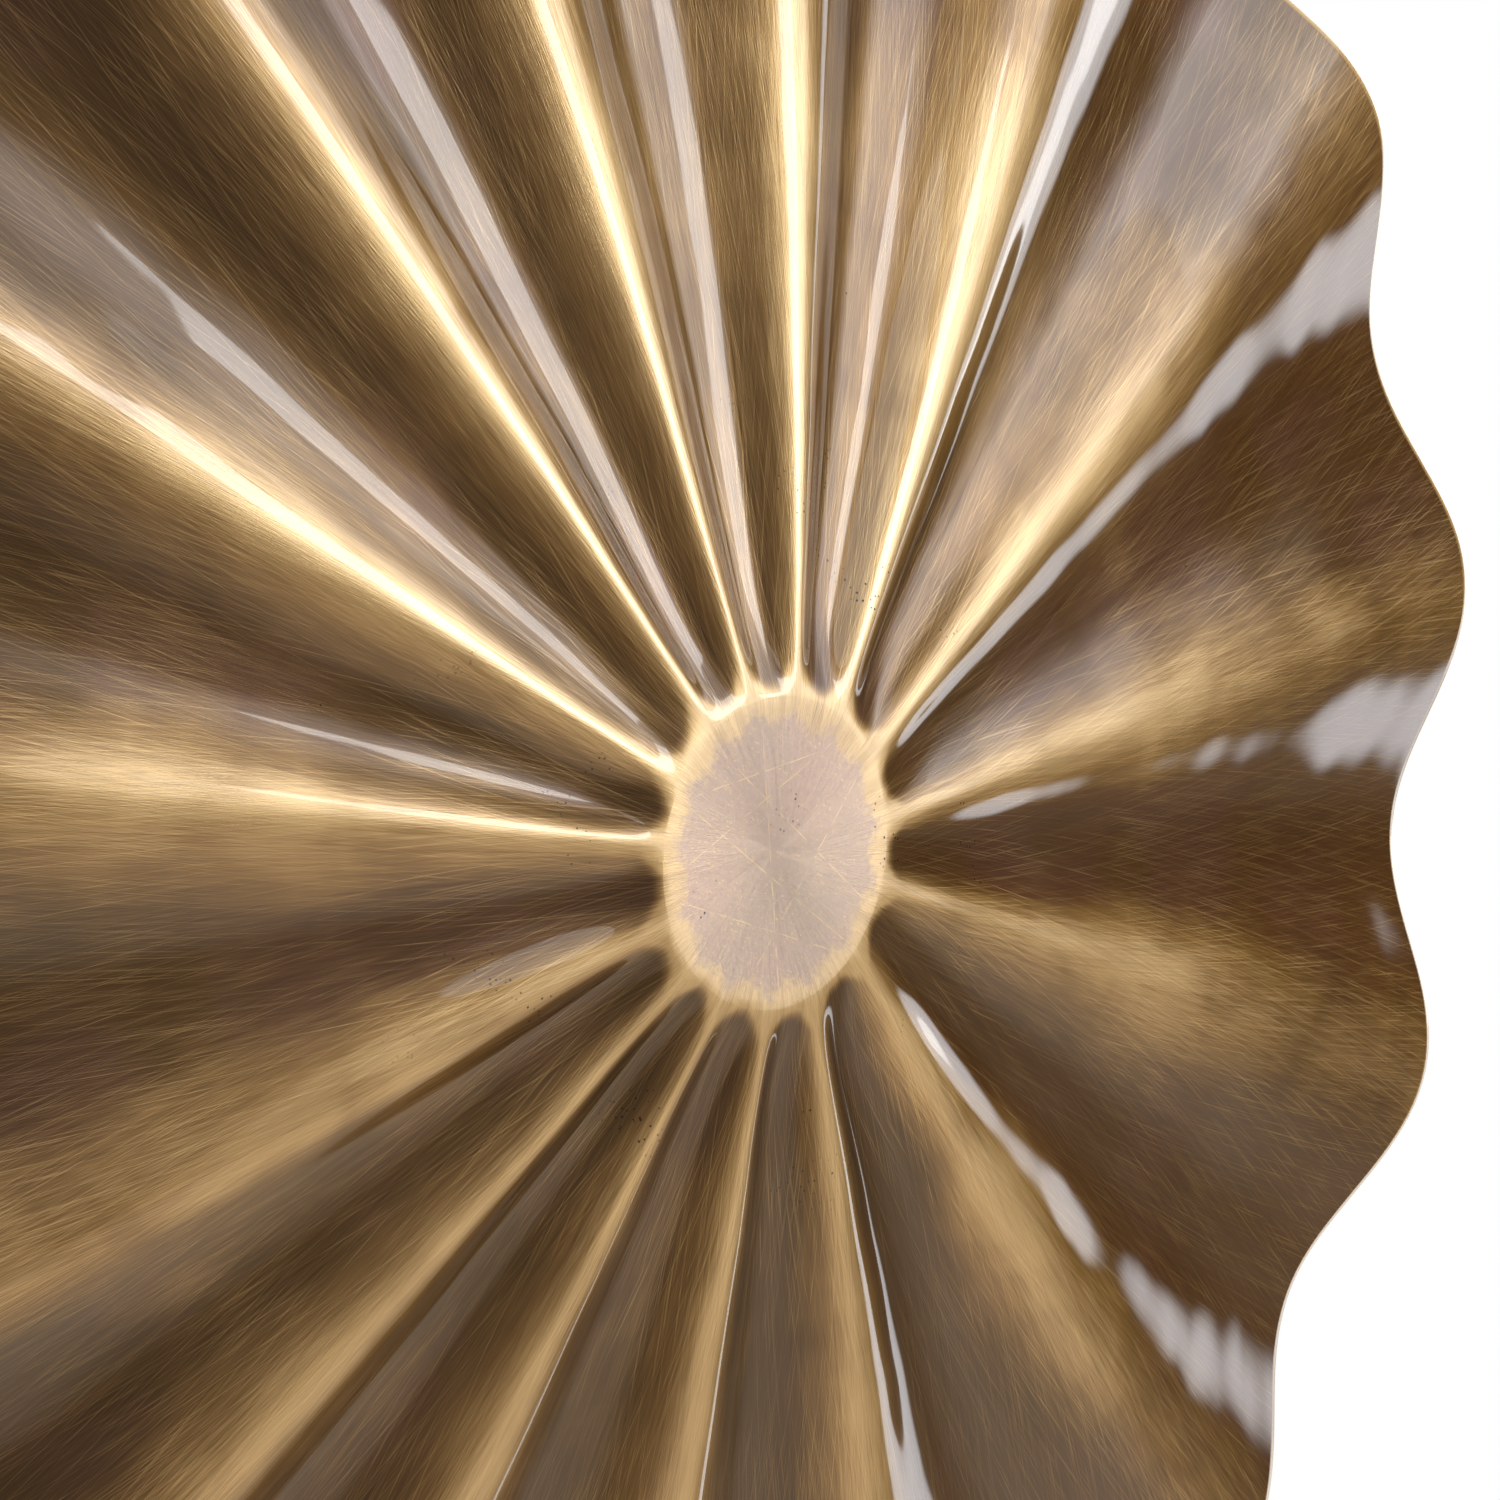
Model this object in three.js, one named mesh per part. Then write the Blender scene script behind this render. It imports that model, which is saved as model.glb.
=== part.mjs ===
// A shallow fluted bowl, raised by hand from one disc of brass sheet.
//
// The middle of the sheet is left flat and is the foot that the bowl stands on. From the foot, narrow
// ridges run out to the rim. Between two ridges the sheet is pressed in, which makes a flute: it starts
// with a round nose at the foot, and it gets wider and deeper towards the rim. The rim is scalloped, and
// each lobe lies at the end of a ridge.
//
// The bowl is one piece of metal of even thickness, so it is one mesh. Lengths are in millimetres and
// angles in degrees. The bowl's axis is Z, +Z is up, and the underside of the foot is at z = 0.

import * as THREE from 'three';

// Driving dimensions
const RIM_RADIUS = 150; // from the axis to the tip of a lobe
const RIDGE_RISE = 26.5; // height of a lobe's outer face above the ground
const FOOT_RADIUS = 16.5; // the flat foot
const SHEET = 1.2; // thickness of the metal
const RIDGE_START_SLOPE = 0.148; // rise over run of a ridge where it leaves the foot
const NOSE_DEPTH = 1.9; // how far the sheet is pressed in at the nose of a flute
const NOSE_LENGTH = 6; // length over which the nose comes down to that depth
const NOSE_ROUNDNESS = 1.5; // above 1, the nose sets off level with the foot
const RIM_FLUTE_DEPTH = 6.5; // depth of a flute at the rim
const SCALLOP = 4.8; // how far the rim is cut back between two lobes
const NOSE_SHARPNESS = 1.6; // narrowness of a ridge beside the foot, where 1 is an even wave

// The bearing of the first ridge, and the steps from each ridge to the next. The steps differ because
// each ridge is struck by hand.
const FIRST_RIDGE = 7;
const RIDGE_STEPS = [28, 25, 23, 25, 20, 21, 29, 23, 24, 21, 23, 24, 24, 26, 24];

// Fineness of the mesh
const COLUMNS_PER_FLUTE = 8;
const RINGS = 11;
const RING_CROWDING = 1.7; // above 1, the rings lie closer together beside the foot
const NUDGE = 0.01; // step for the slopes that give the sheet's normal

const COLUMNS = RIDGE_STEPS.length * COLUMNS_PER_FLUTE;
const WALL_RUN = RIM_RADIUS - FOOT_RADIUS;
const RIDGE_CURVE = (RIDGE_RISE - RIDGE_START_SLOPE * WALL_RUN) / WALL_RUN ** 2;
const DEPTH_GROWTH = (RIM_FLUTE_DEPTH - NOSE_DEPTH) / WALL_RUN;

// The bearing, in radians, of a place given as a flute number and the part of the way across that flute:
// 2.5 is the middle of the third flute.
function bearingAt(place) {
  const turn = Math.floor(place / RIDGE_STEPS.length);
  const inTurn = place - turn * RIDGE_STEPS.length;
  const flute = Math.floor(inTurn);
  const before = RIDGE_STEPS.slice(0, flute).reduce((sum, step) => sum + step, 0);
  const bearing = FIRST_RIDGE + before + RIDGE_STEPS[flute] * (inTurn - flute) + 360 * turn;
  return THREE.MathUtils.degToRad(bearing);
}

// How far across the flute's depth the sheet is pressed in: 0 on a ridge and 1 in the middle of a flute.
function fluteWave(place, outward) {
  const sharpness = THREE.MathUtils.lerp(NOSE_SHARPNESS, 1, outward);
  return 1 - Math.abs(Math.cos(Math.PI * place)) ** (2 * sharpness);
}

// A point on the outer face of the sheet. outward runs from 0 at the foot's edge to 1 at the rim.
function outerPoint(outward, place) {
  const run = WALL_RUN * outward;
  const wave = fluteWave(place, outward);
  const noseDepth = NOSE_DEPTH * (1 - Math.exp(-((run / NOSE_LENGTH) ** NOSE_ROUNDNESS)));
  const depth = (noseDepth + DEPTH_GROWTH * run) * wave;
  const slope = Math.atan(RIDGE_START_SLOPE + 2 * RIDGE_CURVE * run);
  const cutBack = SCALLOP * wave * outward ** 2;
  const radius = FOOT_RADIUS + run - cutBack - depth * Math.sin(slope);
  const height = RIDGE_START_SLOPE * run + RIDGE_CURVE * run ** 2 + depth * Math.cos(slope);
  const bearing = bearingAt(place);
  return new THREE.Vector3(radius * Math.cos(bearing), radius * Math.sin(bearing), height);
}

// The sheet's normal at a point of the wall, pointing into the bowl.
function inwardNormal(outward, place) {
  const along = outerPoint(outward + NUDGE, place).sub(outerPoint(Math.max(outward - NUDGE, 0), place));
  const across = outerPoint(outward, place + NUDGE).sub(outerPoint(outward, place - NUDGE));
  return along.cross(across).normalize();
}

// The same point on the inner face. At the foot's edge the sheet is level.
function innerPoint(outward, place) {
  const normal = outward > 0 ? inwardNormal(outward, place) : new THREE.Vector3(0, 0, 1);
  return outerPoint(outward, place).addScaledVector(normal, SHEET);
}

// The section of the sheet, as the faces that its points lie on: out along the outer face from the axis
// to the rim, and back along the inner face.
function sectionStations() {
  const rings = Array.from({ length: RINGS + 1 }, (_, ring) => (ring / RINGS) ** RING_CROWDING);
  const outer = rings.map((outward) => ({ outward, pointAt: outerPoint }));
  const inner = rings.map((outward) => ({ outward, pointAt: innerPoint })).reverse();
  return [null, ...outer, ...inner, null];
}

// A lathe turns the section round the axis, and each of its points is then moved to its place on the
// fluted sheet. The two end points stay on the axis.
function bowlGeometry() {
  const stations = sectionStations();
  const profile = stations.map((station, index) => {
    const radius = station ? FOOT_RADIUS + WALL_RUN * station.outward : 0;
    return new THREE.Vector2(radius, index < stations.length / 2 ? 0 : SHEET);
  });
  const geometry = new THREE.LatheGeometry(profile, COLUMNS);
  const position = geometry.getAttribute('position');
  for (let index = 0; index < position.count; index += 1) {
    const station = stations[index % stations.length];
    const column = Math.floor(index / stations.length) % COLUMNS;
    const point = station
      ? station.pointAt(station.outward, column / COLUMNS_PER_FLUTE)
      : new THREE.Vector3(0, 0, position.getY(index));
    position.setXYZ(index, point.x, point.y, point.z);
  }
  geometry.computeVertexNormals();
  return geometry;
}

const agedBrass = new THREE.MeshStandardMaterial({ color: 0x8a6d42, roughness: 0.35, metalness: 1 });

const bowl = new THREE.Mesh(bowlGeometry(), agedBrass);
bowl.name = 'bowl_shell';

const part = new THREE.Group();
part.add(bowl);

export default part;
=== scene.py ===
"""A shallow fluted brass bowl, seen from underneath, in Blender 4.5.

The fine shell below replaces the CAD node. Its driving sizes are read from that node, and only the
hand-made unevenness is added here. Lengths are in metres, the bowl's axis is Z and its foot is at z = 0.
"""

import math

import bpy
import numpy as np
from mathutils import Matrix, Vector, noise


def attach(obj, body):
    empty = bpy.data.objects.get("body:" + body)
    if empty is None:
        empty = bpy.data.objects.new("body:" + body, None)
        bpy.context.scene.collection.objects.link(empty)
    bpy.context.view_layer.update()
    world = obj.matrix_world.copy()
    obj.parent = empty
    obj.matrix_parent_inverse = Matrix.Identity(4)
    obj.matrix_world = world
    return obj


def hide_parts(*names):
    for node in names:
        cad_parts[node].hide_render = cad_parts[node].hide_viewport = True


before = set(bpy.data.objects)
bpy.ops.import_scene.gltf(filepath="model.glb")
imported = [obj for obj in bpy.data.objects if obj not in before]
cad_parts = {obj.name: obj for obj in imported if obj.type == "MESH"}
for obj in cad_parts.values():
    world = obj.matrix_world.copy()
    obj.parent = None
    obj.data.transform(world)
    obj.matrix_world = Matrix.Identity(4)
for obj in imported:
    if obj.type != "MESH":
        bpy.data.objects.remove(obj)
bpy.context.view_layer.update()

MM = 0.001

# ---------------------------------------------------------------- sizes read from the CAD node

cad_points = np.array([vertex.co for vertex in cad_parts["bowl_shell"].data.vertices])
cad_radius = np.hypot(cad_points[:, 0], cad_points[:, 1])
HAIR = 0.01 * MM

RIM_RADIUS = cad_radius.max()
FOOT_RADIUS = cad_radius[cad_points[:, 2] < HAIR].max()
SHEET = cad_points[cad_radius < HAIR, 2].max()
WALL_RUN = RIM_RADIUS - FOOT_RADIUS

lobe_tips = cad_points[cad_radius > RIM_RADIUS - HAIR]
RIDGE_RISE = lobe_tips[:, 2].mean()
RIDGES = np.unique(np.round(np.degrees(np.arctan2(lobe_tips[:, 1], lobe_tips[:, 0])) % 360, 1))
FLUTES = len(RIDGES)

# ---------------------------------------------------------------- the rest of the section

START_SLOPE = 0.148  # rise over run of a ridge where it leaves the foot
NOSE_DEPTH = 1.9 * MM
NOSE_LENGTH = 6 * MM
NOSE_ROUNDNESS = 1.5  # above 1, the sheet bends softly into the nose
RIM_FLUTE_DEPTH = 6.5 * MM
SCALLOP = 4.8 * MM
NOSE_SHARPNESS = 1.6  # narrowness of a ridge beside the foot, where 1 is an even wave
RIDGE_CURVE = (RIDGE_RISE - START_SLOPE * WALL_RUN) / WALL_RUN**2
DEPTH_GROWTH = (RIM_FLUTE_DEPTH - NOSE_DEPTH) / WALL_RUN
SOFT_FOOT_EDGE = 1.2 * MM  # radius-like softness where the wall leaves the flat foot

# Hand-made unevenness. Each list has one number for each flute, or for the ridge that it starts at.
hand = np.random.default_rng(11)
NOSE_START = hand.uniform(-0.5, 0.9, FLUTES) * MM  # how far outside the foot's edge each nose starts
# Depth of each flute, as a share of the usual depth.
DEPTH_SHARE = np.array([0.97, 1, 1, 1, 1, 1, 1, 1, 1, 1, 1, 1, 0.88, 0.82, 0.97])
# Length of each nose, as a share of the usual length.
NOSE_STRETCH = np.array([2.2, 1.1, 0.9, 1, 1.1, 0.9, 1, 0.9, 1.1, 1, 0.9, 1, 1, 1.3, 2.2])
# Share of the dark finish that gives way to gold in the middle of each flute.
HOLLOW_GOLD_SHARE = np.array([0, 0, 0.1, 0.25, 0.3, 0.2, 0.25, 0.3, 0.15, 0.35, 0.5, 0.65, 0.55, 0.25, 0])
# Degrees that each lobe lies off its ridge.
LOBE_SWAY = [0, -3, 1, 0, -1, 1, 0, -1, 1, 0, -1, 1, 0, 2, 0]
SWAY_GROWTH = 3  # power of the share of the way to the rim, by which the sway sets in
HAMMER_DEPTH = 0.16 * MM
HAMMER_SIZE = 20 * MM
HAMMER_FREE = 15 * MM  # the marks fade in over this distance from the foot
FINER_MARKS = 2.3  # how many times closer together the smaller marks lie
FINER_DEPTH = 0.25  # their depth, as a share of the depth of the large marks

# Where the dark finish lies
NOSE_END_ROUNDING = 2.6 * MM  # how much further out it starts at a flute's sides than in its middle
NOSE_END_FADE = 2.2 * MM
FINISH_BREADTH = 0.8  # below 1, it reaches further up the sides of a flute
GOLD_SHARE_GROWTH = 0.3  # power of the share of the way to the rim, by which the gold sets in
FOOT_EDGE_WAVE = 1.4 * MM  # how far the foot's border swings in and out with the flutes
GRAIN_SWIRL = 0.12  # lean of the slanted brush strokes from the radius, in radians

# Fineness of the mesh
COLUMNS_PER_FLUTE = 44
WALL_RINGS = 190
FOOT_RINGS = 16
EDGE_RINGS = 6
RING_CROWDING = 1.35  # above 1, the rings lie closer together beside the foot
RUN_NUDGE = 0.05 * MM  # steps for the slopes that give the sheet's normal
PLACE_NUDGE = 0.004
PLACES = np.arange(FLUTES * COLUMNS_PER_FLUTE)[None, :] / COLUMNS_PER_FLUTE


def smooth(value):
    value = np.clip(value, 0, 1)
    return value * value * (3 - 2 * value)


def per_flute(values, place):
    """A number that each flute has its own value of, blended from the middle of one flute to the next."""
    left = np.floor(place - 0.5).astype(int)
    share = smooth(place - 0.5 - left)
    return values[left % FLUTES] * (1 - share) + values[(left + 1) % FLUTES] * share


def bearing_of(place, outward):
    """The bearing in radians of a place counted in flutes."""
    stations = np.arange(FLUTES + 1)
    bearings = np.append(RIDGES, RIDGES[0] + 360)
    sway = np.append(LOBE_SWAY, LOBE_SWAY[0])
    straight = np.interp(place % FLUTES, stations, bearings)
    return np.radians(straight + np.interp(place % FLUTES, stations, sway) * outward**SWAY_GROWTH)


def flute_wave(place, outward):
    """The share of a flute's depth that the sheet is pressed in by: 0 on a ridge, 1 in the middle."""
    sharpness = NOSE_SHARPNESS + (1 - NOSE_SHARPNESS) * outward
    return 1 - np.abs(np.cos(math.pi * place)) ** (2 * sharpness)


def flute_depth(past_nose, place, wave):
    """How far the sheet is pressed in, at a distance outwards from the start of the nose."""
    nose_length = NOSE_LENGTH * per_flute(NOSE_STRETCH, place)
    nose = 1 - np.exp(-((past_nose / nose_length) ** NOSE_ROUNDNESS))
    share = per_flute(DEPTH_SHARE, place)
    return (NOSE_DEPTH * nose + DEPTH_GROWTH * past_nose) * wave * share


def dark_finish(past_nose, outward, place, wave):
    """How much of the dark finish is left: 0 on a ridge, up to 1 in a flute, with a round end at the nose."""
    past_round_end = past_nose - NOSE_END_ROUNDING * (1 - wave)
    # lightens the middle of each flute towards gold, by its own share for each flute
    gold_share = per_flute(HOLLOW_GOLD_SHARE, place) * outward**GOLD_SHARE_GROWTH
    return wave**FINISH_BREADTH * smooth(past_round_end / NOSE_END_FADE) * (1 - gold_share)


def outer_face(run, place):
    """Points of the outer face, and how much of the dark finish is left at each."""
    past_foot = np.clip(run, 0, None)
    outward = np.clip(run / WALL_RUN, 0, 1)
    past_nose = np.clip(run - per_flute(NOSE_START, place), 0, None)
    wave = flute_wave(place, outward)
    depth = flute_depth(past_nose, place, wave)
    slope = np.arctan(START_SLOPE + 2 * RIDGE_CURVE * past_foot)
    rounded = (run + np.sqrt(run**2 + SOFT_FOOT_EDGE**2) - SOFT_FOOT_EDGE) / 2
    bearing = bearing_of(place, outward)
    radius = FOOT_RADIUS + run - SCALLOP * wave * outward**2 - depth * np.sin(slope)
    height = START_SLOPE * np.clip(rounded, 0, None) + RIDGE_CURVE * past_foot**2 + depth * np.cos(slope)
    points = np.stack([radius * np.cos(bearing), radius * np.sin(bearing), height], -1)
    return points, dark_finish(past_nose, outward, place, wave)


def hammer_marks(points, run):
    """Soft dents left by the hammer, faded out at the foot."""
    large = points.reshape(-1, 3) / HAMMER_SIZE
    pairs = zip(large, large * FINER_MARKS)
    marks = np.array([noise.noise(Vector(a)) + FINER_DEPTH * noise.noise(Vector(b)) for a, b in pairs])
    return marks.reshape(points.shape[:2]) * HAMMER_DEPTH * smooth(run / HAMMER_FREE)


def unit(vectors):
    return vectors / np.linalg.norm(vectors, axis=-1, keepdims=True)


def shell_rings():
    """Rings of points from the middle of the underside, round the edge, to the middle of the inside."""
    foot = np.linspace(-FOOT_RADIUS, 0, FOOT_RINGS + 1)[1:-1]
    wall = (WALL_RUN - SHEET / 2) * np.linspace(0, 1, WALL_RINGS + 1) ** RING_CROWDING
    run = np.concatenate([foot, wall])[:, None]
    outer, hollow = outer_face(run, PLACES)
    along = outer_face(run + RUN_NUDGE, PLACES)[0] - outer_face(run - RUN_NUDGE, PLACES)[0]
    across = outer_face(run, PLACES + PLACE_NUDGE)[0] - outer_face(run, PLACES - PLACE_NUDGE)[0]
    inward = unit(np.cross(along, across))
    outer = outer + inward * hammer_marks(outer, run)[..., None]
    inner = outer + inward * SHEET
    outer[..., 2] = np.clip(outer[..., 2], 0, None)
    middle = (outer[-1] + inner[-1]) / 2
    angle = np.linspace(0, math.pi, EDGE_RINGS + 2)[1:-1, None, None]
    edge = middle + SHEET / 2 * (unit(along[-1]) * np.sin(angle) - inward[-1] * np.cos(angle))
    points = np.concatenate([outer, edge, inner[::-1]])
    edge_hollow = np.repeat(hollow[-1:], EDGE_RINGS, 0)
    # Inside the bowl the flutes stand up and the ridges are the grooves.
    hollow = np.concatenate([hollow, edge_hollow, 1 - hollow[::-1]])
    run = np.concatenate([run[:, 0], np.full(EDGE_RINGS, WALL_RUN), run[::-1, 0]])
    to_foot_edge = run[:, None] + FOOT_EDGE_WAVE * (np.abs(np.sin(math.pi * PLACES)) - 0.5)
    return points, hollow, run, to_foot_edge


def add_floats(mesh, name, values):
    layer = mesh.attributes.new(name, "FLOAT", "POINT")
    layer.data.foreach_set("value", np.asarray(values, np.float32))


def add_vectors(mesh, name, values):
    layer = mesh.attributes.new(name, "FLOAT_VECTOR", "POINT")
    layer.data.foreach_set("vector", np.asarray(values, np.float32).ravel())


def shell_faces(rings, columns):
    """Faces between the rings, and a fan at each end round a middle point that follows the rings."""
    ring, column = np.meshgrid(np.arange(rings - 1), np.arange(columns), indexing="ij")
    after = (column + 1) % columns
    corners = [ring * columns + column, (ring + 1) * columns + column,
               (ring + 1) * columns + after, ring * columns + after]
    faces = np.stack(corners, -1).reshape(-1, 4).tolist()
    underside, inside = rings * columns, rings * columns + 1
    top = (rings - 1) * columns
    for here in range(columns):
        beside = (here + 1) % columns
        faces.append([underside, here, beside])
        faces.append([inside, top + beside, top + here])
    return faces


def add_grain(mesh, verts, run):
    """The ways that the brush strokes run: straight outwards, and leaning to either side."""
    bearing = np.arctan2(verts[:, 1], verts[:, 0])
    swirl = GRAIN_SWIRL * np.log(np.clip(run + FOOT_RADIUS, MM, None) / FOOT_RADIUS)
    for name, lean in (("grain", 0), ("grain_left", 1), ("grain_right", -1)):
        leaning = bearing + lean * swirl
        add_vectors(mesh, name, np.stack([np.cos(leaning), np.sin(leaning), run], -1))


def make_shell():
    """The shell, with the numbers on its points that the brass reads."""
    points, hollow, run, to_foot_edge = shell_rings()
    rings, columns = points.shape[:2]
    verts = np.concatenate([points.reshape(-1, 3), [[0, 0, 0], [0, 0, SHEET]]])
    mesh = bpy.data.meshes.new("fine_bowl_shell")
    mesh.from_pydata(verts.tolist(), [], shell_faces(rings, columns))
    mesh.shade_smooth()
    add_floats(mesh, "hollow", np.append(hollow.ravel(), [0, 1]))
    centres = [-FOOT_RADIUS, -FOOT_RADIUS]
    add_floats(mesh, "to_foot_edge", np.append(to_foot_edge.ravel(), centres))
    run = np.append(np.repeat(run, columns), centres)
    add_floats(mesh, "run", run)
    add_grain(mesh, verts, run)
    shell = bpy.data.objects.new("fine_bowl_shell", mesh)
    bpy.context.scene.collection.objects.link(shell)
    return shell


# ---------------------------------------------------------------- node helpers


class Shader:
    """Builds a node tree: each call adds one node and gives its main output."""

    def __init__(self, tree):
        self.tree = tree

    def node(self, kind, inputs=None, **settings):
        node = self.tree.nodes.new("ShaderNode" + kind)
        for name, value in settings.items():
            setattr(node, name, value)
        for socket, value in (inputs or {}).items():
            if isinstance(value, bpy.types.NodeSocket):
                self.tree.links.new(value, node.inputs[socket])
            else:
                node.inputs[socket].default_value = value
        return node

    def attribute(self, name, output="Fac"):
        return self.node("Attribute", attribute_name=name).outputs[output]

    def math(self, operation, a, b=0.0, clamp=False):
        return self.node("Math", {0: a, 1: b}, operation=operation, use_clamp=clamp).outputs[0]

    def scaled(self, vector, factors):
        return self.node("VectorMath", {0: vector, 1: factors}, operation="MULTIPLY").outputs[0]

    def noise(self, vector, scale=1.0, detail=2.0, roughness=0.5, distortion=0.0):
        inputs = {"Vector": vector, "Scale": scale, "Detail": detail, "Roughness": roughness,
                  "Distortion": distortion}
        return self.node("TexNoise", inputs).outputs["Fac"]

    def step(self, value, low, high, start=0.0, end=1.0):
        """A smooth step from start, where value is low, to end, where it is high."""
        inputs = {"Value": value, "From Min": low, "From Max": high, "To Min": start, "To Max": end}
        return self.node("MapRange", inputs, interpolation_type="SMOOTHSTEP").outputs[0]

    def mix(self, share, a, b):
        """A colour share of the way from a to b."""
        return self.node("Mix", {"Factor": share, 6: a, 7: b}, data_type="RGBA").outputs[2]

    def blend(self, share, a, b):
        """A number share of the way from a to b."""
        return self.node("Mix", {"Factor": share, 2: a, 3: b}, data_type="FLOAT").outputs[0]


# ---------------------------------------------------------------- aged brass

GOLD = (0.61, 0.445, 0.225, 1)
WARM_BROWN = (0.30, 0.19, 0.08, 1)
DARK_BROWN = (0.076, 0.041, 0.014, 1)
PLUM_BROWN = (0.09, 0.047, 0.028, 1)
FOOT_GREY = (0.34, 0.265, 0.205, 1)
FOOT_ROSE = (0.36, 0.26, 0.205, 1)
PIT_BLACK = (0.012, 0.007, 0.005, 1)

# Brush strokes: how many in a radian beside the foot and at the rim, and how many in a metre outwards
ALONG_STROKES = (170, 560, 45)
SLANTED_STROKES = (330, 1000, 60)
STROKE_CHANGE = (22 * MM, 60 * MM)  # distances from the foot between which the count changes over
LONG_PATCHES = (9, 9, 28)

# Sizes of the mottling, as cells in a metre
CLOUDS = 55
PLUM_PATCHES = 38
SPECKLES = 1400
PIT_CLUSTERS = 90
SCRATCH_BREAKS = 420

# What changes the depth of the dark finish, which is 0 on a ridge and 1 in a flute
CLOUD_SWING = 0.6
STROKE_SWING = 1.0
PATCH_SWING = 0.7
FAR_OUT = (0.38, 0.82)  # shares of the way to the rim between which the finish grows deeper
FAR_OUT_DEEPER = 0.5

# Depths of the dark finish between which one colour gives way to the next
BARE_TO_THIN = (-0.08, 0.42)
THIN_TO_WHOLE = (0.2, 0.95)
HAIRS_FADE = (0.1, 1.2, 0.48, 0.16)  # two depths, and the strength of the hairlines at each

# Noise values: each mark is absent below the first and full above the second
PLUM_LEVELS = (0.42, 0.66)
HAIR_LEVELS = (0.58, 0.68)
SCRATCH_LEVELS = (2.0, 2.75)  # of four noises added up
UNBROKEN_LEVELS = (0.38, 0.55)
SPECKLE_LEVELS = (0.3, 0.75)
ROSE_LEVELS = (0.35, 0.65)
PITTED_LEVELS = (0.62, 0.70)
TONE_OF_STROKES = (1.15, 1.85, 0.7, 1.12)  # two sums of three noises, and the brightness at each

# Marks on the foot
BRUSHED_WAYS = (20, -42, 66, 2)  # degrees
BRUSHING = (150, 3600, 1)  # strokes in a metre along them and across them
LONG_SCRATCHES = ((25, 2.5), (29, -3.5), (-62, 5), (-38, -6), (74, 1), (8, 8), (-20, -9))  # degrees, mm
SCRATCH_CORE = 0.02 * MM
SCRATCH_EDGE = 0.11 * MM
SCRATCH_STRENGTH = 0.65
SPECKLE_STRENGTH = 0.15
FOOT_BORDER = (-3 * MM, -0.8 * MM)  # the grey ends between these distances from the edge
FOOT_RAGGED = (3.5 * MM, 3 * MM)  # how far coarse and fine mottling shift that end

# Pits: how many cells in a metre, the share of them that hold a pit, and its radius in cells
GATHERED_PITS = (1900, 0.25, 0.36)
SINGLE_PITS = (300, 0.03, 0.05)
PITS_END = (8 * MM, 45 * MM)  # distances from the foot between which the gathered pits thin out

RIM_BRIGHT = (1.5 * MM, 0.7 * MM)  # the rim brightens between these distances from the edge
RIM_STRENGTH = 0.85
ROUGHNESS = 0.26
STROKE_ROUGHNESS = 0.14
PIT_ROUGHNESS = 0.3
STROKE_HEIGHT = 0.05 * MM
RELIEF_STRENGTH = 0.6
ALONG_RELIEF = 0.8  # height of the strokes along the grain, as a share of the slanted ones


def brush_strokes(sh, grain, counts, run):
    """Noise drawn out along the strokes."""
    beside_foot, at_rim, outwards = counts
    place = sh.attribute(grain, "Vector")
    inner = sh.noise(sh.scaled(place, (beside_foot, beside_foot, outwards)), 1, 2, 0.6)
    outer = sh.noise(sh.scaled(place, (at_rim, at_rim, outwards)), 1, 2, 0.6)
    return sh.blend(sh.step(run, *STROKE_CHANGE), inner, outer)


def swing(sh, value, amount):
    """A noise value about its middle, 0.5, scaled so that it runs from minus to plus half the amount."""
    return sh.math("MULTIPLY", sh.math("SUBTRACT", value, 0.5), amount)


def finish_depth(sh, run, along, cloud):
    """How much dark finish is left: below 0 on bare metal and above 1 where it is whole."""
    long_patches = sh.noise(sh.scaled(sh.attribute("grain", "Vector"), LONG_PATCHES), 1, 3, 0.6)
    depth = sh.math("ADD", sh.attribute("hollow"), swing(sh, cloud, CLOUD_SWING))
    uneven = sh.math("ADD", swing(sh, along, STROKE_SWING), swing(sh, long_patches, PATCH_SWING))
    depth = sh.math("ADD", depth, uneven)
    far_out = sh.step(run, FAR_OUT[0] * WALL_RUN, FAR_OUT[1] * WALL_RUN)
    return sh.math("ADD", depth, sh.math("MULTIPLY", far_out, FAR_OUT_DEEPER))


def finish_colour(sh, place, depth):
    """Gold on bare metal, warm brown where the finish is thin, and brown or plum where it is whole."""
    plum = sh.step(sh.noise(place, PLUM_PATCHES, 2, 0.5, 0.6), *PLUM_LEVELS)
    whole = sh.mix(plum, DARK_BROWN, PLUM_BROWN)
    thin = sh.mix(sh.step(depth, *THIN_TO_WHOLE, 1, 0), whole, WARM_BROWN)
    return sh.mix(sh.step(depth, *BARE_TO_THIN, 1, 0), thin, GOLD)


def add_stroke_colour(sh, colour, depth, along, left, right):
    """Bright hairlines where single strokes cut through to clean metal, and a change of tone in the rest."""
    hairs = sh.math("MAXIMUM", sh.step(left, *HAIR_LEVELS), sh.step(right, *HAIR_LEVELS))
    hairs = sh.math("MULTIPLY", hairs, sh.step(depth, *HAIRS_FADE))
    colour = sh.mix(hairs, colour, GOLD)
    all_strokes = sh.math("ADD", sh.math("ADD", left, right), along)
    tone = sh.step(all_strokes, *TONE_OF_STROKES)
    return sh.node("HueSaturation", {"Value": tone, "Color": colour}).outputs[0]


def turned(sh, place, degrees):
    """The place as seen from axes that are turned by an angle about Z."""
    inputs = {"Vector": place, "Rotation": (0, 0, math.radians(-degrees))}
    return sh.node("Mapping", inputs).outputs[0]


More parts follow.
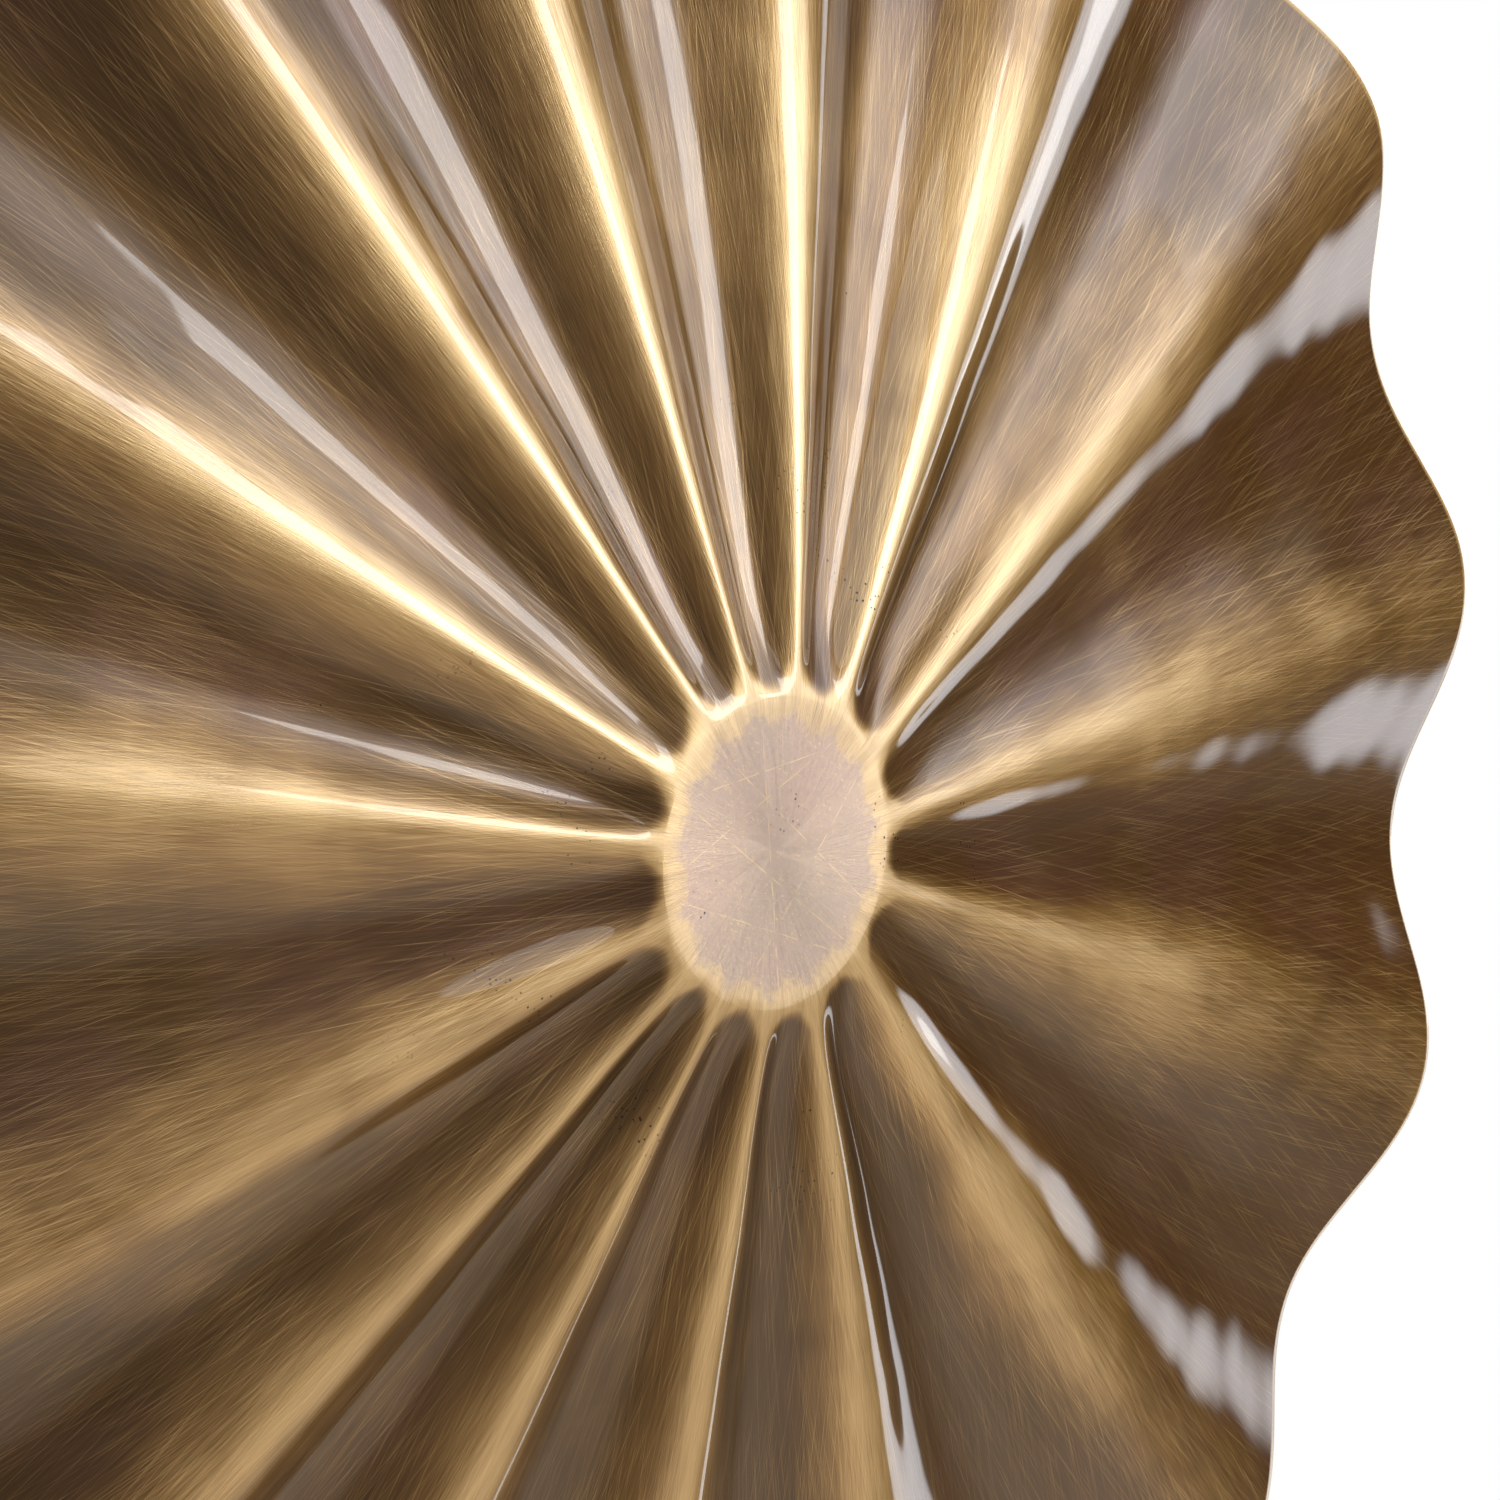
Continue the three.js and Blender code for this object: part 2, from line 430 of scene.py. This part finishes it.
def foot_scratches(sh, place):
    """Fine brushing that crosses the foot in several directions, and a few long scratches."""
    brushing = 0.0
    for degrees in BRUSHED_WAYS:
        strokes = sh.noise(sh.scaled(turned(sh, place, degrees), BRUSHING), 1, 1)
        brushing = sh.math("ADD", brushing, strokes)
    scratches = sh.step(brushing, *SCRATCH_LEVELS)
    unbroken = sh.step(sh.noise(place, SCRATCH_BREAKS, 1), *UNBROKEN_LEVELS)
    for degrees, off_axis in LONG_SCRATCHES:
        side = sh.node("SeparateXYZ", {0: turned(sh, place, degrees)}).outputs["Y"]
        away = sh.math("ABSOLUTE", sh.math("SUBTRACT", side, off_axis * MM))
        line = sh.step(away, SCRATCH_CORE, SCRATCH_EDGE, 1, 0)
        scratches = sh.math("MAXIMUM", scratches, sh.math("MULTIPLY", line, unbroken))
    return scratches


def add_foot(sh, colour, place, cloud):
    """The foot is grey-brown where it rests on the table, inside a ragged polished border."""
    speckle = sh.noise(place, SPECKLES, 2)
    edge = sh.math("ADD", sh.attribute("to_foot_edge"), swing(sh, cloud, FOOT_RAGGED[0]))
    edge = sh.math("ADD", edge, swing(sh, speckle, FOOT_RAGGED[1]))
    on_foot = sh.step(edge, *FOOT_BORDER, 1, 0)
    scratches = sh.math("MULTIPLY", foot_scratches(sh, place), SCRATCH_STRENGTH)
    speckles = sh.step(speckle, *SPECKLE_LEVELS, 0, SPECKLE_STRENGTH)
    marks = sh.math("MAXIMUM", scratches, speckles)
    foot = sh.mix(sh.step(cloud, *ROSE_LEVELS), FOOT_GREY, FOOT_ROSE)
    return sh.mix(on_foot, colour, sh.mix(marks, foot, GOLD))


def add_rim(sh, colour, run):
    """The rim's edge is rubbed bright."""
    at_rim = sh.step(run, WALL_RUN - RIM_BRIGHT[0], WALL_RUN - RIM_BRIGHT[1])
    return sh.mix(sh.math("MULTIPLY", at_rim, RIM_STRENGTH), colour, GOLD)


def pits(sh, place, per_metre, share, size):
    """Small round pits, in a share of the cells of a grid of that many cells per metre."""
    cells = sh.node("TexVoronoi", {"Vector": place, "Scale": per_metre})
    chosen = sh.node("SeparateColor", {0: cells.outputs["Color"]}).outputs[0]
    chosen = sh.math("LESS_THAN", chosen, share)
    dot = sh.step(cells.outputs["Distance"], size * 0.5, size, 1, 0)
    return sh.math("MULTIPLY", dot, chosen)


def all_pits(sh, place, run):
    """Pits that gather in patches near the foot, and a few single ones everywhere."""
    near_foot = sh.step(run, *PITS_END, 1, 0)
    in_patch = sh.step(sh.noise(place, PIT_CLUSTERS, 1), *PITTED_LEVELS)
    here = sh.math("MULTIPLY", near_foot, in_patch)
    gathered = sh.math("MULTIPLY", pits(sh, place, *GATHERED_PITS), here)
    return sh.math("MAXIMUM", gathered, pits(sh, place, *SINGLE_PITS))


def aged_brass():
    """Brass with a dark finish that is polished off what stands proud, under clear lacquer."""
    material = bpy.data.materials.new("aged_brass")
    material.use_nodes = True
    sh = Shader(material.node_tree)
    bsdf = material.node_tree.nodes["Principled BSDF"]
    place = sh.node("TexCoord").outputs["Object"]
    run = sh.attribute("run")
    along = brush_strokes(sh, "grain", ALONG_STROKES, run)
    left = brush_strokes(sh, "grain_left", SLANTED_STROKES, run)
    right = brush_strokes(sh, "grain_right", SLANTED_STROKES, run)
    cloud = sh.noise(place, CLOUDS, 3, 0.55, 0.4)

    depth = finish_depth(sh, run, along, cloud)
    colour = finish_colour(sh, place, depth)
    colour = add_stroke_colour(sh, colour, depth, along, left, right)
    colour = add_foot(sh, colour, place, cloud)
    colour = add_rim(sh, colour, run)
    holes = all_pits(sh, place, run)
    colour = sh.mix(holes, colour, PIT_BLACK)
    material.node_tree.links.new(colour, bsdf.inputs["Base Color"])

    rough = sh.math("MULTIPLY", sh.math("ADD", left, right), STROKE_ROUGHNESS)
    rough = sh.math("ADD", rough, ROUGHNESS)
    rough = sh.math("ADD", rough, sh.math("MULTIPLY", holes, PIT_ROUGHNESS))
    material.node_tree.links.new(rough, bsdf.inputs["Roughness"])

    relief = sh.math("ADD", left, sh.math("MULTIPLY", along, ALONG_RELIEF))
    bump = sh.node("Bump", {"Height": relief, "Strength": RELIEF_STRENGTH, "Distance": STROKE_HEIGHT})
    material.node_tree.links.new(bump.outputs[0], bsdf.inputs["Normal"])

    bsdf.inputs["Metallic"].default_value = 1.0
    bsdf.inputs["Specular Tint"].default_value = (0.5, 0.4, 0.3, 1)
    bsdf.inputs["Coat Weight"].default_value = 1.0
    bsdf.inputs["Coat Roughness"].default_value = 0.05
    bsdf.inputs["Coat IOR"].default_value = 1.55
    return material


shell = make_shell()
shell.data.materials.append(aged_brass())
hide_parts("bowl_shell")
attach(shell, "root")

# ---------------------------------------------------------------- camera

VIEW_TILT = math.radians(45.28)  # between the line of sight and the bowl's axis
VIEW_LEAN = math.radians(7.82)  # roll of the picture
CAMERA_DISTANCE = 4 * RIM_RADIUS
SEEN_WIDTH = 1.047 * RIM_RADIUS  # width that the picture covers at the foot
FOOT_OFF_CENTRE = (0.0181 * SEEN_WIDTH, -0.0688 * SEEN_WIDTH)  # right and up, from the picture's middle


def add_camera():
    """The camera looks up at the underside, with the +X side of the rim on the picture's right."""
    back = Vector((-math.sin(VIEW_TILT), 0, -math.cos(VIEW_TILT)))
    right = Vector((math.cos(VIEW_TILT), 0, -math.sin(VIEW_TILT)))
    lean = Matrix.Rotation(VIEW_LEAN, 3, back)
    right = lean @ right
    up = back.cross(right)
    data = bpy.data.cameras.new("camera")
    data.lens = data.sensor_width * CAMERA_DISTANCE / SEEN_WIDTH
    camera = bpy.data.objects.new("camera", data)
    bpy.context.scene.collection.objects.link(camera)
    place = back * CAMERA_DISTANCE - right * FOOT_OFF_CENTRE[0] - up * FOOT_OFF_CENTRE[1]
    camera.matrix_world = Matrix.Translation(place) @ Matrix((right, up, back)).transposed().to_4x4()
    bpy.context.scene.camera = camera


# ---------------------------------------------------------------- light

LIGHT_DISTANCE = 1.8


def direction(bearing, below):
    """The unit vector at a bearing, and so far below the horizon, in degrees."""
    bearing, below = math.radians(bearing), math.radians(below)
    level = math.cos(below)
    return Vector((level * math.cos(bearing), level * math.sin(bearing), -math.sin(below)))


def softbox(name, bearing, below, width, height, brightness):
    """A soft light that faces the bowl. Its place and size are angles in degrees, as the bowl sees it."""
    data = bpy.data.lights.new(name, "AREA")
    data.shape = "RECTANGLE"
    data.size = 2 * LIGHT_DISTANCE * math.tan(math.radians(width) / 2)
    data.size_y = 2 * LIGHT_DISTANCE * math.tan(math.radians(height) / 2)
    data.energy = brightness * math.pi * data.size * data.size_y
    light = bpy.data.objects.new(name, data)
    bpy.context.scene.collection.objects.link(light)
    towards = direction(bearing, below)
    light.location = towards * LIGHT_DISTANCE
    light.rotation_euler = towards.to_track_quat("Z", "Y").to_euler()
    light.visible_camera = False


def add_lights():
    softbox("key", bearing=-36.5, below=51, width=21, height=17, brightness=5.3)
    softbox("strip", bearing=-42, below=14, width=16, height=30, brightness=0.9)
    softbox("side", bearing=-90, below=46, width=24, height=26, brightness=1.7)
    softbox("far_white", bearing=-20, below=-18, width=34, height=28, brightness=1.8)
    softbox("overhead", bearing=40, below=-70, width=50, height=50, brightness=1.2)


WARM_DIM = (0.35, 0.265, 0.175, 1)
DARK_CORNER = (0.12, 0.08, 0.05, 1)
KEY_GLOW = (2.75, 2.7, 2.8, 1)
WARM_GLOW = (1.05, 0.88, 0.68, 1)
WHITE_WALL = (2.3, 2.27, 2.3, 1)
WHITE_ROOM = (0.75, 0.745, 0.74, 1)
BACKDROP = (1, 1, 1, 1)

# Parts of the unit vector that points along a ray
WALL_TOP = (0.08, 0.2)  # the white wall ends between these values of Z
WALL_SIDE = (0.6, 0.85)  # it sets in between these values of X
HORIZON = (-0.05, 0.0)  # values of Z between which the dim room gives way to the white one


def patch(sh, ray, light, colour, bearing, below, inner, outer):
    """The light with a round patch of a colour, whole inside one angle and gone outside the other."""
    towards = tuple(direction(bearing, below))
    nearness = sh.node("VectorMath", {0: ray, 1: towards}, operation="DOT_PRODUCT").outputs["Value"]
    share = sh.step(nearness, math.cos(math.radians(outer)), math.cos(math.radians(inner)))
    return sh.mix(share, light, colour)


def add_world():
    """A white room above the bowl with a bright wall on the +X side, and a dim warm one below it."""
    world = bpy.data.worlds.new("world")
    bpy.context.scene.world = world
    world.use_nodes = True
    sh = Shader(world.node_tree)
    ray = sh.node("TexCoord").outputs["Generated"]
    parts = sh.node("SeparateXYZ", {0: ray}).outputs
    below = patch(sh, ray, WARM_DIM, WARM_GLOW, bearing=52, below=30, inner=14, outer=42)
    below = patch(sh, ray, below, KEY_GLOW, bearing=-25, below=43, inner=12, outer=31)
    below = patch(sh, ray, below, DARK_CORNER, bearing=-16, below=6, inner=9, outer=26)
    low = sh.step(parts["Z"], *WALL_TOP, 1, 0)
    wall = sh.math("MULTIPLY", sh.step(parts["X"], *WALL_SIDE), low)
    above = sh.mix(wall, WHITE_ROOM, WHITE_WALL)
    light = sh.mix(sh.step(parts["Z"], *HORIZON), below, above)
    seen = sh.node("LightPath").outputs["Is Camera Ray"]
    light = sh.mix(seen, light, BACKDROP)
    world.node_tree.links.new(light, world.node_tree.nodes["Background"].inputs["Color"])


FLOOR_SHARE = 8  # half the floor's width, in rim radii
FLOOR_COLOUR = (0.80, 0.79, 0.78, 1)
FLOOR_ROUGHNESS = 0.7


def add_floor():
    """A pale floor, which is clear from below so that the camera sees the bowl's underside."""
    half = FLOOR_SHARE * RIM_RADIUS
    mesh = bpy.data.meshes.new("floor")
    corners = [(-half, -half, 0), (half, -half, 0), (half, half, 0), (-half, half, 0)]
    mesh.from_pydata(corners, [], [(0, 1, 2, 3)])
    floor = bpy.data.objects.new("floor", mesh)
    bpy.context.scene.collection.objects.link(floor)
    material = bpy.data.materials.new("pale_floor")
    material.use_nodes = True
    sh = Shader(material.node_tree)
    bsdf = material.node_tree.nodes["Principled BSDF"]
    bsdf.inputs["Base Color"].default_value = FLOOR_COLOUR
    bsdf.inputs["Roughness"].default_value = FLOOR_ROUGHNESS
    clear = sh.node("BsdfTransparent").outputs[0]
    under = sh.node("NewGeometry").outputs["Backfacing"]
    both = sh.node("MixShader", {0: under, 1: bsdf.outputs[0], 2: clear}).outputs[0]
    material.node_tree.links.new(both, material.node_tree.nodes["Material Output"].inputs["Surface"])
    mesh.materials.append(material)
    floor.visible_shadow = False
    floor.visible_diffuse = False
    floor.visible_glossy = False


add_camera()
add_lights()
add_world()
add_floor()
bpy.context.scene.view_settings.view_transform = "Standard"
